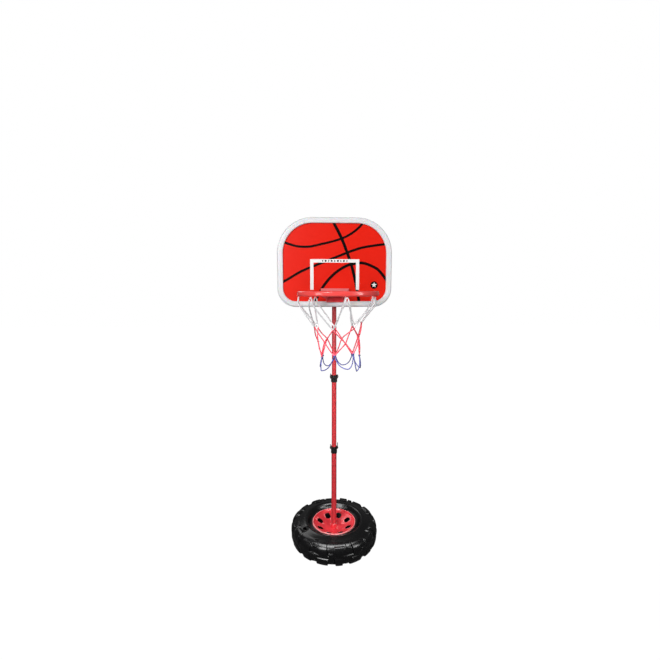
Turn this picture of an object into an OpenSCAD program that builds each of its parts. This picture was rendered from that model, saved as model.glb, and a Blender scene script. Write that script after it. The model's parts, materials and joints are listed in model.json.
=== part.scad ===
// Portable basketball hoop with a tyre-shaped ballast base and a three-section telescopic pole.
// Millimetres. Z is up along the pole, the hoop faces -Y, and the origin is on the floor
// under the pole's axis.

/* [Base] */
// Outer diameter of the tyre over its lugs
tyre_d = 280; // [274:1:300]
// Height of the tyre from the floor to its crest
tyre_h = 70; // [68:1:76]
// Wall of the hollow blow-moulded tyre
tyre_wall = 3; // [2.5:0.1:3.5]
// Height of the tread lugs above the carcass
lug_h = 6; // [4:0.5:7]
// Number of tread lugs in each of the two rows
lug_count = 18; // [14:1:20]
// Diameter of the wheel hub
hub_d = 140; // [138:1:141]
// Number of windows in the wheel hub
hub_windows = 8; // [6:1:8]
// Diameter of the filler plug's head
filler_head_d = 20; // [18:1:22]

/* [Pole] */
// Outer diameter of the lower tube
lower_d = 16.4; // [16.4:0.1:16.6]
// Outer diameter of the middle tube
middle_d = 15.1; // [14.9:0.1:15.1]
// Outer diameter of the upper tube
upper_d = 13.8; // [13.6:0.1:13.8]
// Wall of all three tubes
tube_wall = 0.6; // [0.5:0.05:0.6]
// Height of the top of the lower lock collar
lower_collar_z = 315; // [300:1:330]
// Height of the top of the upper lock collar with the pole drawn out
upper_collar_z = 547; // [530:1:555]
// Length of each tube that stays inside the one below
insertion = 60; // [50:1:70]
// Outer diameter of the lock collars
collar_d = 19.6; // [19.4:0.1:20]
// Height of the lock collars
collar_h = 22; // [21:1:24]

/* [Backboard] */
// Width of the backboard over its frame
board_w = 340; // [330:1:350]
// Height of the backboard over its frame
board_h = 262; // [256:1:268]
// Height of the backboard's lower edge with the pole drawn out
board_z = 761; // [755:1:765]
// Radius of the upper corners
top_r = 105; // [90:1:110]
// Radius of the lower corners
bottom_r = 55; // [45:1:60]
// Width of the white frame
frame_band = 17; // [15:1:19]
// Depth of the white frame from front to back
frame_depth = 16; // [14:1:16]
// Thickness of the printed panel
panel_t = 2.5; // [2:0.1:3]

/* [Rim and net] */
// Outer diameter of the rim
rim_d = 213; // [205:1:218]
// Width of the rim's section
rim_section_w = 11; // [10:0.5:12]
// Height of the rim's section
rim_section_h = 13; // [11:0.5:14]
// Height of the rim's middle plane
rim_z = 802; // [800:1:804]
// Gap between the front of the backboard and the rim
rim_gap = 30; // [28:1:34]
// Number of net hooks under the rim
hook_count = 7; // [6:1:7]
// Height of the lowest loops of the net
net_bottom_z = 599; // [590:1:605]

/* [Hidden] */

$fn = 96;
eps = 0.01;
run_gap = 0.05; // radial gap of a running or push fit
free_gap = 0.3; // gap between parts that pass each other

// Base
carcass_r = tyre_d / 2 - lug_h;
shoulder_r = 22;
crest_r = 90;
crest_round = 9;
ledge_z = tyre_h - 16;
hub_r = hub_d / 2;
hub_lip_z = tyre_h - 8;
hub_t = 2.5;
hub_floor_z = 40;
hub_floor_r = 26;
boss_r = 9.5;
boss_top_z = 54;
window_ring_r = 48;
window_size = 18;
recess_floor_z = 22;
well_floor_z = 6;
lug_w = 27;
lug_bar = 60;
lug_slant = 14;
filler_r = 103;
filler_angle = 208;
filler_z = tyre_h - 5;
filler_hole_r = 7;
filler_len = 14;

// Pole
lower_r = lower_d / 2;
middle_r = middle_d / 2;
upper_r = upper_d / 2;
foot_t = 2;
lower_tube_z = well_floor_z + foot_t;
lower_tube_top = lower_collar_z - 10;
middle_tube_z = lower_collar_z - insertion;
middle_tube_top = upper_collar_z - 10;
upper_tube_z = upper_collar_z - insertion;
upper_tube_top = 899;
plug_stem = 12;
collar_r = collar_d / 2;
collar_lip = 1.5;
pivot_drop = 5;
pin_r = 1.45;
arm_in = collar_r + 0.5;
arm_t = 2;
screw_z = 47;

// Backboard
front_y = -34;
back_y = front_y + frame_depth;
board_mid_z = board_z + board_h / 2;
panel_front_y = front_y + 6.5;
panel_back_y = panel_front_y + panel_t;
panel_w = board_w - 2 * frame_band;
panel_h = board_h - 2 * frame_band;
panel_edge = 4;
print_t = 0.4;
target_w = 146;
target_top = 10;
target_bottom = -80;
target_bar = 10;

// Rim and net
rim_section_round = 4;
rim_r = (rim_d - rim_section_w) / 2;
rim_y = front_y - rim_gap - rim_d / 2;
hook_phase = 21;
hook_r = 1.8;
hook_drop = 13;
shelf_w = 60;
shelf_t = 8;
net_wall = 2;
net_top_z = rim_z - 16;
knot_z = 714;
lower_knot_z = 639;
net_top_r = 100;
knot_r = 66;
lower_knot_r = 52;
net_bottom_r = 50;
bolt_places = [[-28, 791], [28, 791], [-28, 809], [28, 809]];
socket_z = 782;
socket_h = 124;
tube_screw_z = 874;

// Points of an arc in the plane, from angle a0 to angle a1
function arc(cx, cy, r, a0, a1, n = 8) =
    [for (i = [0 : n]) let (a = a0 + (a1 - a0) * i / n) [cx + r * cos(a), cy + r * sin(a)]];

// Point on a smooth curve through the points p, at place t between p[i] and p[i + 1]
function spline_point(p, i, t) =
    let (
        a = p[max(i - 1, 0)],
        b = p[i],
        c = p[i + 1],
        d = p[min(i + 2, len(p) - 1)]
    )
    0.5 * (2 * b + (c - a) * t + (2 * a - 5 * b + 4 * c - d) * t * t
        + (3 * b - a - 3 * c + d) * t * t * t);

function spline(p, n = 5) = concat(
    [for (i = [0 : len(p) - 2], k = [0 : n - 1]) spline_point(p, i, k / n)],
    [p[len(p) - 1]]
);

function side(p, i) =
    let (
        d = p[min(i + 1, len(p) - 1)] - p[max(i - 1, 0)],
        l = norm(d)
    )
    [-d[1] / l, d[0] / l];

// Strip of an even width along the points p
module strip(p, w) {
    n = len(p);
    polygon(concat(
        [for (i = [0 : n - 1]) p[i] + side(p, i) * w / 2],
        [for (i = [n - 1 : -1 : 0]) p[i] - side(p, i) * w / 2]
    ));
}

// Cylinder on the pole's axis between two heights
module cylinder_between(z0, z1, r) {
    translate([0, 0, z0])
        cylinder(r = r, h = z1 - z0);
}

// Half of the tyre's section, drawn in by "inset" from the outer surface
module tyre_section(inset) {
    low = shoulder_r - inset;
    polygon(concat(
        [[0, inset]],
        arc(carcass_r - shoulder_r, shoulder_r, low, -90, 0),
        arc(carcass_r - shoulder_r - 2, tyre_h - 30, 24 - inset, 0, 62),
        arc(crest_r, tyre_h - crest_round, crest_round - inset, 78, 130, 6),
        [
            [hub_r + 4 + inset, ledge_z + 8 - inset],
            [hub_r + 1.5 + inset, ledge_z + 5 - inset],
            [hub_r + 1.5 + inset, ledge_z - inset],
            [63 - inset, ledge_z - inset],
            [59 - inset, recess_floor_z - inset],
            [0, recess_floor_z - inset]
        ]
    ));
}

// Ring of tread rubber that the lugs are cut from
module tread_ring() {
    rotate_extrude()
        difference() {
            polygon(concat(
                arc(tyre_d / 2 - 18, 20, 18, -75, 0, 5),
                arc(tyre_d / 2 - 22, tyre_h - 30, 22, 0, 70, 6),
                [[carcass_r - 26, tyre_h - 16], [carcass_r - 26, 12]]
            ));
            square([carcass_r - 28, tyre_h]);
        }
}

// One row of slanted bars that pick the lugs out of the tread ring
module lug_bars(z, h, turn, slant) {
    for (i = [0 : lug_count - 1])
        rotate([0, 0, i * 360 / lug_count + turn])
            translate([carcass_r, 0, z])
                rotate([slant, 0, 0])
                    cube([lug_bar, lug_w, h], center = true);
}

module filler_hole(r, z0, h) {
    rotate([0, 0, filler_angle])
        translate([filler_r, 0, z0])
            cylinder(r = r, h = h);
}

module base_tyre() {
    color("#222222")
        difference() {
            union() {
                rotate_extrude()
                    tyre_section(0);
                intersection() {
                    tread_ring();
                    union() {
                        lug_bars(tyre_h - 21, 34, 0, lug_slant);
                        lug_bars(17, 30, 180 / lug_count, -lug_slant);
                    }
                }
                filler_hole(filler_head_d / 2 + 2, filler_z - 12, 10.5);
            }
            difference() {
                rotate_extrude()
                    tyre_section(tyre_wall);
                cylinder(r = lower_r + 3.5, h = recess_floor_z);
                filler_hole(filler_head_d / 2 + 2, filler_z - 12, 10.5);
            }
            translate([0, 0, well_floor_z])
                cylinder(r = lower_r + 2 * run_gap, h = tyre_h);
            filler_hole(filler_hole_r, filler_z - 20, 40);
            filler_hole(filler_head_d / 2 + 1, filler_z - 1.5, 40);
        }
}

// Dished section of the wheel hub
module hub_section() {
    polygon(concat(
        [
            [lower_r + run_gap, hub_floor_z - 4],
            [boss_r + 3, hub_floor_z - 4],
            [hub_floor_r, hub_floor_z - hub_t],
            [hub_r - 9, hub_lip_z - 6],
            [hub_r - 5, ledge_z + eps],
            [hub_r, ledge_z + eps]
        ],
        arc(hub_r - 2, hub_lip_z - 2, 2, 0, 150, 6),
        [
            [hub_r - 7, hub_lip_z - 5],
            [hub_floor_r, hub_floor_z],
            [boss_r, hub_floor_z],
            [boss_r, boss_top_z - 1],
            [boss_r - 1, boss_top_z],
            [lower_r + run_gap, boss_top_z]
        ]
    ));
}

// Window with rounded corners, standing on its own centre
module window(size, r, h) {
    s = size / 2 - r;
    linear_extrude(h)
        union() {
            square([size, 2 * s], center = true);
            square([2 * s, size], center = true);
            for (x = [-s, s], y = [-s, s])
                translate([x, y])
                    circle(r, $fn = 32);
        }
}

module hub_plate() {
    color("#d8303a")
        difference() {
            rotate_extrude()
                hub_section();
            for (i = [0 : hub_windows - 1])
                rotate([0, 0, (i + 0.5) * 360 / hub_windows])
                    translate([window_ring_r, 0, hub_floor_z - 5])
                        window(window_size, 6.5, 30);
            translate([0, 0, screw_z])
                rotate([-90, 0, 0])
                    cylinder(r = 1.55, h = 20, $fn = 32);
        }
}

module filler_cap() {
    color("#191919")
        difference() {
            union() {
                filler_hole(filler_head_d / 2, filler_z, 4);
                filler_hole(filler_hole_r - run_gap, filler_z + eps - filler_len, filler_len);
            }
            // finger slot across the head
            rotate([0, 0, filler_angle])
                translate([filler_r, 0, filler_z + 3.5])
                    cube([3, filler_head_d - 6, 3], center = true);
            filler_hole(filler_hole_r - 2, filler_z - filler_len - 1, filler_len - 1);
        }
}

module filler_gasket() {
    color("#303030")
        difference() {
            filler_hole(filler_head_d / 2 - 0.5, filler_z - 1.5 + eps, 1.5 - 2 * eps);
            filler_hole(filler_hole_r + 2 * run_gap, filler_z - 5, 10);
        }
}

// Pan-head screw along +X, with its head's underside at the origin
module screw(shank_r, shank_len, head_r, head_t) {
    rotate([0, 90, 0]) {
        difference() {
            cylinder(r = head_r, h = head_t, $fn = 48);
            for (a = [0, 90])
                rotate([0, 0, a])
                    translate([0, 0, head_t])
                        cube([head_r * 1.2, 0.8, 1.2], center = true);
        }
        translate([0, 0, -shank_len])
            cylinder(r = shank_r, h = shank_len, $fn = 32);
    }
}

module pole_screw() {
    color("#b8bcc0")
        translate([0, boss_r, screw_z])
            rotate([0, 0, 90])
                screw(1.5, 3.4, 3, 1.8);
}

// Plastic plug in a tube's lower end, with its flange below "z"
module end_plug(z, r, flange) {
    translate([0, 0, z - flange])
        cylinder(r = r, h = flange - eps);
    translate([0, 0, z - flange])
        cylinder(r = r - tube_wall - run_gap, h = flange + plug_stem);
}

module tube(z0, z1, r) {
    translate([0, 0, z0])
        difference() {
            cylinder(r = r, h = z1 - z0);
            translate([0, 0, -1])
                cylinder(r = r - tube_wall, h = z1 - z0 + 2);
        }
}

module lower_foot_plug() {
    color("#222222")
        translate([0, 0, eps])
            end_plug(lower_tube_z, lower_r, foot_t);
}

module lower_tube() {
    color("#cd3a3e")
        difference() {
            tube(lower_tube_z + eps, lower_tube_top, lower_r);
            translate([0, 0, screw_z])
                rotate([-90, 0, 0])
                    cylinder(r = 1.55, h = 20, $fn = 32);
        }
}

// Split clamp collar with its top at z, which sits on the outer tube and grips the inner one
module collar(z, outer_r, inner_r) {
    bush_r = outer_r + 0.2;
    translate([0, 0, z])
        difference() {
            union() {
                cylinder_between(-collar_h, 0, collar_r);
                // bosses for the lever's pins
                translate([-arm_in + 0.2, 0, -pivot_drop])
                    rotate([0, 90, 0])
                        cylinder(r = 4, h = 2 * arm_in - 0.4);
            }
            cylinder_between(-collar_h - 1, -10, outer_r + run_gap);
            cylinder_between(-10 - eps, -collar_lip, bush_r + run_gap);
            cylinder_between(-collar_lip - eps, 1, inner_r + free_gap);
            // split at the back, below the lever
            translate([-0.9, 0, -14])
                cube([1.8, collar_r + 5, 20]);
            // blind pin holes
            for (s = [0, 180])
                rotate([0, 0, s])
                    translate([bush_r + 0.03, 0, -pivot_drop])
                        rotate([0, 90, 0])
                            cylinder(r = pin_r + run_gap, h = 10);
        }
}

module grip_bush(z, outer_r, inner_r) {
    translate([0, 0, z - 10 + eps])
        difference() {
            cylinder(r = outer_r + 0.2, h = 10 - collar_lip - 2 * eps);
            translate([0, 0, -1])
                cylinder(r = inner_r + run_gap, h = 12);
            translate([-0.9, 0, -1])
                cube([1.8, 15, 12]);
        }
}

// Two headed pins that the lever turns on
module lock_pins(z, outer_r) {
    for (s = [0, 180])
        rotate([0, 0, s])
            translate([arm_in + arm_t + 0.1, 0, z - pivot_drop])
                screw(pin_r, arm_in + arm_t + 0.1 - outer_r - 0.35, 2.6, 1);
}

// Side plate of the lever in the Y-Z plane about its pin, with a thumb tab "tab" high
module lever_side(tab) {
    rotate([90, 0, 90])
        linear_extrude(arm_t)
            difference() {
                union() {
                    circle(3.6, $fn = 48);
                    polygon([
                        [-3.2, 0], [-2.4, tab], [1.2, tab], [3.4, 1], [13, -4.5],
                        [13, -9.5], [10.6, -9.5], [-1, -3.4]
                    ]);
                }
                circle(pin_r + run_gap, $fn = 48);
            }
}

// U-shaped lever that straps round the back of the collar, with a finger tongue below the strap
module lock_lever(z, right_tab, left_tab) {
    translate([0, 0, z - pivot_drop]) {
        translate([arm_in, 0, 0])
            lever_side(right_tab);
        translate([-arm_in - arm_t, 0, 0])
            lever_side(left_tab);
        translate([-arm_in - arm_t + eps, 10.6, -9.5])
            cube([2 * (arm_in + arm_t) - 2 * eps, 2.4, 5]);
        translate([-7.5, 10.6, -16])
            cube([15, 2.4, 8]);
        translate([-7.5, 11, -16])
            cube([15, 3.4, 2]);
    }
}

module lower_collar() {
    color("#1c1c1c")
        collar(lower_collar_z, lower_r, middle_r);
}

module lower_grip_bush() {
    color("#dcdcdc")
        grip_bush(lower_collar_z, lower_r, middle_r);
}

module lower_lock_pins() {
    color("#202020")
        lock_pins(lower_collar_z, lower_r);
}

module lower_lock_lever() {
    color("#161616")
        lock_lever(lower_collar_z, 16, 11);
}

module middle_end_plug() {
    color("#222222")
        end_plug(middle_tube_z, middle_r, 4);
}

module middle_tube() {
    color("#cd3a3e")
        tube(middle_tube_z, middle_tube_top, middle_r);
}

module upper_collar() {
    color("#1c1c1c")
        collar(upper_collar_z, middle_r, upper_r);
}

module upper_grip_bush() {
    color("#dcdcdc")
        grip_bush(upper_collar_z, middle_r, upper_r);
}

module upper_lock_pins() {
    color("#202020")
        lock_pins(upper_collar_z, middle_r);
}

module upper_lock_lever() {
    color("#161616")
        lock_lever(upper_collar_z, 6, 9);
}

module upper_end_plug() {
    color("#222222")
        end_plug(upper_tube_z, upper_r, 4);
}

module upper_tube() {
    color("#d4464a")
        difference() {
            tube(upper_tube_z, upper_tube_top, upper_r);
            translate([0, 0, tube_screw_z])
                rotate([-90, 0, 0])
                    cylinder(r = 1.55, h = 20, $fn = 32);
        }
}

// Solid between two planes of constant Y, from a shape drawn in the X-Z plane
module facing(y_front, y_back) {
    translate([0, y_back, 0])
        rotate([90, 0, 0])
            linear_extrude(y_back - y_front)
                children();
}

// Socket for the pole and plate behind the panel
module rear_bracket() {
    plate_y = panel_back_y + eps;
    color("#c92f33")
        difference() {
            union() {
                facing(plate_y, plate_y + 5)
                    translate([-42, socket_z])
                        square([84, socket_h]);
                translate([0, 0, socket_z])
                    cylinder(r = upper_r + 3.5, h = socket_h);
                for (x = [-upper_r - 3.5, upper_r + 0.5])
                    translate([x, plate_y, socket_z])
                        cube([3, -plate_y, socket_h]);
                for (z = [socket_z, socket_z + 60, socket_z + socket_h - 4])
                    translate([-30, plate_y, z])
                        cube([60, 12, 4]);
            }
            translate([0, 0, socket_z - 8])
                cylinder(r = upper_r + run_gap, h = upper_tube_top - socket_z + 8 + eps);
            for (p = bolt_places)
                facing(-60, 20)
                    translate(p)
                        circle(2.1, $fn = 32);
            translate([0, 0, tube_screw_z])
                rotate([-90, 0, 0])
                    cylinder(r = 1.55, h = 20, $fn = 32);
        }
}

module bracket_bolts() {
    color("#b8bcc0")
        for (p = bolt_places)
            translate([p[0], panel_back_y + 5 + 2 * eps, p[1]])
                rotate([0, 0, 90])
                    screw(2, panel_t + 5 + 6, 4, 2.4);
}

module tube_screw() {
    color("#b8bcc0")
        translate([0, upper_r + 3.5, tube_screw_z])
            rotate([0, 0, 90])
                screw(1.5, 5.2, 3, 1.8);
}

// Backboard outline: large round corners above, small ones below
module board_outline(w, h, upper, lower) {
    translate([0, board_mid_z])
        union() {
            translate([-w / 2, lower - h / 2])
                square([w, h - upper - lower]);
            translate([upper - w / 2, h / 2 - upper - eps])
                square([w - 2 * upper, upper + eps]);
            translate([lower - w / 2, -h / 2])
                square([w - 2 * lower, lower + eps]);
            for (s = [-1, 1]) {
                translate([s * (w / 2 - upper), h / 2 - upper])
                    circle(upper, $fn = 128);
                translate([s * (w / 2 - lower), lower - h / 2])
                    circle(lower, $fn = 96);
            }
        }
}

module panel_outline(grow) {
    board_outline(
        panel_w + 2 * grow,
        panel_h + 2 * grow,
        top_r - frame_band + grow,
        bottom_r - frame_band + grow
    );
}

module backboard_panel() {
    color("#e62b24")
        facing(panel_front_y, panel_back_y)
            difference() {
                panel_outline(panel_edge);
                for (p = bolt_places)
                    translate(p)
                        circle(2.1, $fn = 32);
            }
}

module backboard_frame() {
    color("#f2f1f4")
        difference() {
            facing(front_y, back_y)
                difference() {
                    board_outline(board_w, board_h, top_r, bottom_r);
                    panel_outline(0);
                }
            facing(panel_front_y - run_gap, panel_back_y + run_gap)
                panel_outline(panel_edge + run_gap);
            // the rim bracket's foot laps the lower rail
            facing(front_y - 1, front_y + 3)
                translate([-27, board_z + frame_band - 5])
                    square([54, 10]);
        }
}

module frame_clips() {
    color("#f4f4f4")
        for (s = [-1, 1])
            facing(front_y - 0.8, front_y - eps)
                translate([s * 92, board_mid_z + panel_h / 2 + 2])
                    circle(4, $fn = 48);
}

// Black seam lines of a ball, each a smooth curve through a few points about the panel's centre
seams = [
    [[-160, 62], [-115, 48], [-80, 46], [-47, 52], [8, 66], [43, 81], [71, 102], [90, 124]],
    [[-9, 125], [13, 85], [25, 59], [39, 23], [51, -12], [58, -40], [65, -72], [74, -120]],
    [[-160, -61], [-129, -43], [-100, -26], [-62, -10], [16, 21], [52, 35], [82, 44], [116, 50], [160, 56]],
    [[-62, -120], [-34, -70], [-4, -35], [31, -11], [58, -3], [85, -1], [117, -13], [135, -26], [162, -60]]
];
seam_widths = [6.5, 8.5, 7, 8];

module printed_seams() {
    color("#141414")
        facing(panel_front_y - print_t - eps, panel_front_y - eps)
            difference() {
                intersection() {
                    panel_outline(-0.2);
                    translate([0, board_mid_z])
                        for (i = [0 : len(seams) - 1])
                            strip(spline(seams[i]), seam_widths[i]);
                }
                target_shape(0.1);
                rim_bracket_foot(0.3);
            }
}

// Three-sided aiming mark, open below
module target_shape(grow) {
    bar = target_bar + 2 * grow;
    translate([0, board_mid_z]) {
        for (s = [-1, 1])
            translate([s * (target_w - target_bar) / 2 - bar / 2, target_bottom - grow])
                square([bar, target_top - target_bottom + 2 * grow]);
        translate([-target_w / 2 - grow, target_top - target_bar - grow])
            square([target_w + 2 * grow, bar]);
    }
}

module target_outline() {
    color("#fbfbfb")
        facing(panel_front_y - print_t - eps, panel_front_y - eps)
            target_shape(0);
}

// Plain round mark near the lower right corner
module panel_emblem() {
    color("#141414")
        facing(panel_front_y - print_t - eps, panel_front_y - eps)
            translate([118, board_mid_z - 66])
                circle(11, $fn = 64);
}

// Outline of the rim bracket where it lies on the panel
module rim_bracket_foot(grow) {
    polygon([
        [-42 - grow, 816 + grow], [42 + grow, 816 + grow], [42 + grow, 794 - grow],
        [26 + grow, 784 - grow], [26 + grow, 774 - grow], [-26 - grow, 774 - grow],
        [-26 - grow, 784 - grow], [-42 - grow, 794 - grow]
    ]);
}

module rim_bracket() {
    rim_back_y = rim_y + rim_r;
    pad_y = panel_front_y - 8;
    color("#d8383a")
        difference() {
            union() {
                facing(pad_y, panel_front_y - eps)
                    intersection() {
                        rim_bracket_foot(0);
                        translate([-60, board_z + frame_band + 0.4])
                            square([120, 100]);
                    }
                facing(pad_y - 3, front_y + 2.9)
                    rim_bracket_foot(-1);
                // shelf that carries the rim, and the gussets below it
                translate([-shelf_w / 2, rim_back_y - 1, rim_z - shelf_t / 2])
                    cube([shelf_w, pad_y - rim_back_y + 2, shelf_t]);
                for (x = [-24, 20])
                    translate([x, pad_y, 0])
                        rotate([90, 0, 90])
                            linear_extrude(4)
                                polygon([
                                    [1, rim_z - 20], [1, rim_z - 3],
                                    [-22, rim_z - 3], [-8, rim_z - 18]
                                ]);
            }
            rim_envelope(run_gap);
            for (p = bolt_places)
                translate([p[0], panel_front_y, p[1]])
                    rotate([90, 0, 0])
                        cylinder(r = 2.1, h = 6.5, $fn = 32);
            rim_screw_holes(1.35);
        }
}

// The rim's own rounded section, grown by a gap, with its tongue
module rim_envelope(grow) {
    w = rim_section_w / 2 - rim_section_round;
    h = rim_section_h / 2 - rim_section_round;
    r = rim_section_round + grow;
    translate([0, rim_y, rim_z])
        rotate_extrude($fn = 180)
            translate([rim_r, 0])
                polygon(concat(
                    arc(w, h, r, 0, 90),
                    arc(-w, h, r, 90, 180),
                    arc(-w, -h, r, 180, 270),
                    arc(w, -h, r, 270, 360)
                ));
    translate([-20 - grow, rim_y + rim_r, rim_z - 2 - grow])
        cube([40 + 2 * grow, 20 + grow, 4 + 2 * grow]);
}

module rim_screw_holes(r) {
    for (x = [-12, 12])
        translate([x, rim_y + rim_r + 13, rim_z - 10])
            cylinder(r = r, h = 20, $fn = 32);
}

module rim_ring() {
    color("#e04a48")
        difference() {
            union() {
                rim_envelope(0);
                translate([0, rim_y, rim_z])
                    for (i = [0 : hook_count - 1])
                        rotate([0, 0, hook_phase + i * 360 / hook_count])
                            translate([rim_r, 0, -hook_drop]) {
                                cylinder(r = hook_r, h = hook_drop, $fn = 32);
                                rotate([0, 90, 0])
                                    cylinder(r = hook_r, h = 5, $fn = 32);
                                sphere(hook_r, $fn = 32);
                            }
            }
            rim_screw_holes(1.35);
        }
}

module rim_screws() {
    color("#b8bcc0")
        for (x = [-12, 12])
            translate([x, rim_y + rim_r + 13, rim_z - shelf_t / 2 - eps])
                rotate([0, 90, 0])
                    screw(1.3, 7, 2.8, 1.6);
}

// Open tapered shell that stands for one band of the net
module net_band(z_low, r_low, z_high, r_high) {
    translate([0, rim_y, 0])
        rotate_extrude()
            polygon([
                [r_low, z_low],
                [r_high, z_high],
                [r_high - net_wall, z_high],
                [r_low - net_wall, z_low]
            ]);
}

module net_white() {
    color("#f4f4f4")
        net_band(knot_z + eps, knot_r, net_top_z, net_top_r);
}

module net_red() {
    color("#ce3448")
        net_band(lower_knot_z + eps, lower_knot_r, knot_z - eps, knot_r);
}

module net_blue() {
    color("#2b2f6b")
        net_band(net_bottom_z, net_bottom_r, lower_knot_z - eps, lower_knot_r);
}

base_tyre();
hub_plate();
filler_cap();
filler_gasket();
pole_screw();
lower_foot_plug();
lower_tube();
lower_collar();
lower_grip_bush();
lower_lock_pins();
lower_lock_lever();
middle_end_plug();
middle_tube();
upper_collar();
upper_grip_bush();
upper_lock_pins();
upper_lock_lever();
upper_end_plug();
upper_tube();
rear_bracket();
bracket_bolts();
tube_screw();
backboard_panel();
backboard_frame();
frame_clips();
printed_seams();
target_outline();
panel_emblem();
rim_bracket();
rim_ring();
rim_screws();
net_white();
net_red();
net_blue();
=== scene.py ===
import json
import math
import random

import bmesh
import bpy
from mathutils import Matrix, Vector


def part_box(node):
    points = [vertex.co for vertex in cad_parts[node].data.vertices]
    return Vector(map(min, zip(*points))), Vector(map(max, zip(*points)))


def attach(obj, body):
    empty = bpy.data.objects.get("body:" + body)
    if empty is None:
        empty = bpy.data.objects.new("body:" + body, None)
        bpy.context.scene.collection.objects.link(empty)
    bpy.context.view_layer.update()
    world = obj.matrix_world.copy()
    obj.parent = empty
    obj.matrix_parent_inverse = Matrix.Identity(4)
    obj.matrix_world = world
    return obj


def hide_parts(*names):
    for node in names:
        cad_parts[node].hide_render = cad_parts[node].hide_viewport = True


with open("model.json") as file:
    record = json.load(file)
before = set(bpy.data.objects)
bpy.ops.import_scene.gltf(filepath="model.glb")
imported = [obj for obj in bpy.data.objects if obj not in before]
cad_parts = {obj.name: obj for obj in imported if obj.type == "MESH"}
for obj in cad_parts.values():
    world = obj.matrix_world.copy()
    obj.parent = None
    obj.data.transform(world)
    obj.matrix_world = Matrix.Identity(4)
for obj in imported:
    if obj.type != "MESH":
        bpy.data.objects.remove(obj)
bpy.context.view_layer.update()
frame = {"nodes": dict(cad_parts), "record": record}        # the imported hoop, in metres, with its bodies
nodes = frame["nodes"]
mm = 0.001
print("frame loaded:", len(nodes), "nodes")


# ---- camera, at rim height in front of the hoop and a little to the left
cameraRig = {
    "place": (-0.0656, -1.1432, 0.810),
    "downDeg": 6.07,        # tilt below the horizon
    "turnDeg": -2.64,       # the hoop stands turned a little on its pole
    "lens": 20.29,
    "sensor": 36.0,
}


def makeCamera(rig):
    data = bpy.data.cameras.new("studio_camera")
    data.lens = rig["lens"]
    data.sensor_width = rig["sensor"]
    data.clip_end = 60
    camera = bpy.data.objects.new("studio_camera", data)
    camera.location = rig["place"]
    camera.rotation_euler = (math.radians(90 - rig["downDeg"]), 0, math.radians(rig["turnDeg"]))
    bpy.context.scene.collection.objects.link(camera)
    bpy.context.scene.camera = camera


makeCamera(cameraRig)
print("camera placed")


# ---- small tools
# sRGB hex to the linear RGBA that a shader wants
def linearColour(text):
    channels = [int(text[i:i + 2], 16) / 255 for i in (1, 3, 5)]
    return [c / 12.92 if c <= 0.04045 else ((c + 0.055) / 1.055) ** 2.4 for c in channels] + [1.0]


# sockets of a colour Mix node: the share, the two colours and the result
mixShare, mixFrom, mixTo, mixed = 0, 6, 7, 2


def addNode(tree, kind, settings=None, links=None):
    node = tree.nodes.new(kind)
    for name, value in (settings or {}).items():
        if isinstance(name, str) and hasattr(node, name):
            setattr(node, name, value)
        else:
            node.inputs[name].default_value = value
    for name, socket in (links or {}).items():
        tree.links.new(socket, node.inputs[name])
    return node


# a material with one Principled shader, set from the look's own words
def startMaterial(name, look):
    material = bpy.data.materials.new(name)
    material.use_nodes = True
    tree = material.node_tree
    shader = tree.nodes["Principled BSDF"]
    shader.inputs["Base Color"].default_value = linearColour(look["colour"])
    material.diffuse_color = linearColour(look["colour"])
    shader.inputs["Roughness"].default_value = look["roughness"]
    for word, socket in (
        ("metallic", "Metallic"),
        ("ior", "IOR"),
        ("specular", "Specular IOR Level"),
        ("coat", "Coat Weight"),
        ("coatRoughness", "Coat Roughness"),
        ("scatter", "Subsurface Weight"),
        ("scatterScale", "Subsurface Scale"),
        ("sheen", "Sheen Weight"),
        ("sheenRoughness", "Sheen Roughness"),
    ):
        if word in look:
            shader.inputs[socket].default_value = look[word]
    return material, tree, shader


def perMetre(sizeMm):
    return 1000 / sizeMm


def takeMesh(built, name):
    bmesh.ops.recalc_face_normals(built, faces=built.faces)
    mesh = bpy.data.meshes.new(name)
    built.to_mesh(mesh)
    built.free()
    return mesh


def shadeSmooth(mesh, sharpDeg=None):
    mesh.polygons.foreach_set("use_smooth", [True] * len(mesh.polygons))
    if sharpDeg:
        mesh.set_sharp_from_angle(angle=math.radians(sharpDeg))


# a piece in its slot's finish, riding on a body, in place of the CAD nodes named last
def newPiece(name, mesh, body, slot, *replaced):
    piece = bpy.data.objects.new(name, mesh)
    bpy.context.scene.collection.objects.link(piece)
    mesh.materials.append(finishes[slot])
    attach(piece, body)
    if replaced:
        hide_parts(*replaced)
    return piece


# ---- materials
# blow-moulded polyethylene: soft satin skin, slightly wavy wall, mould grain too fine to see, so 2 mm
tyreLook = {"colour": "#0a0a0b", "scuff": "#1b1c1d", "roughness": 0.22, "ior": 1.5, "specular": 0.38,
            "grainMm": 2.0, "waveMm": 38.0}


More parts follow.
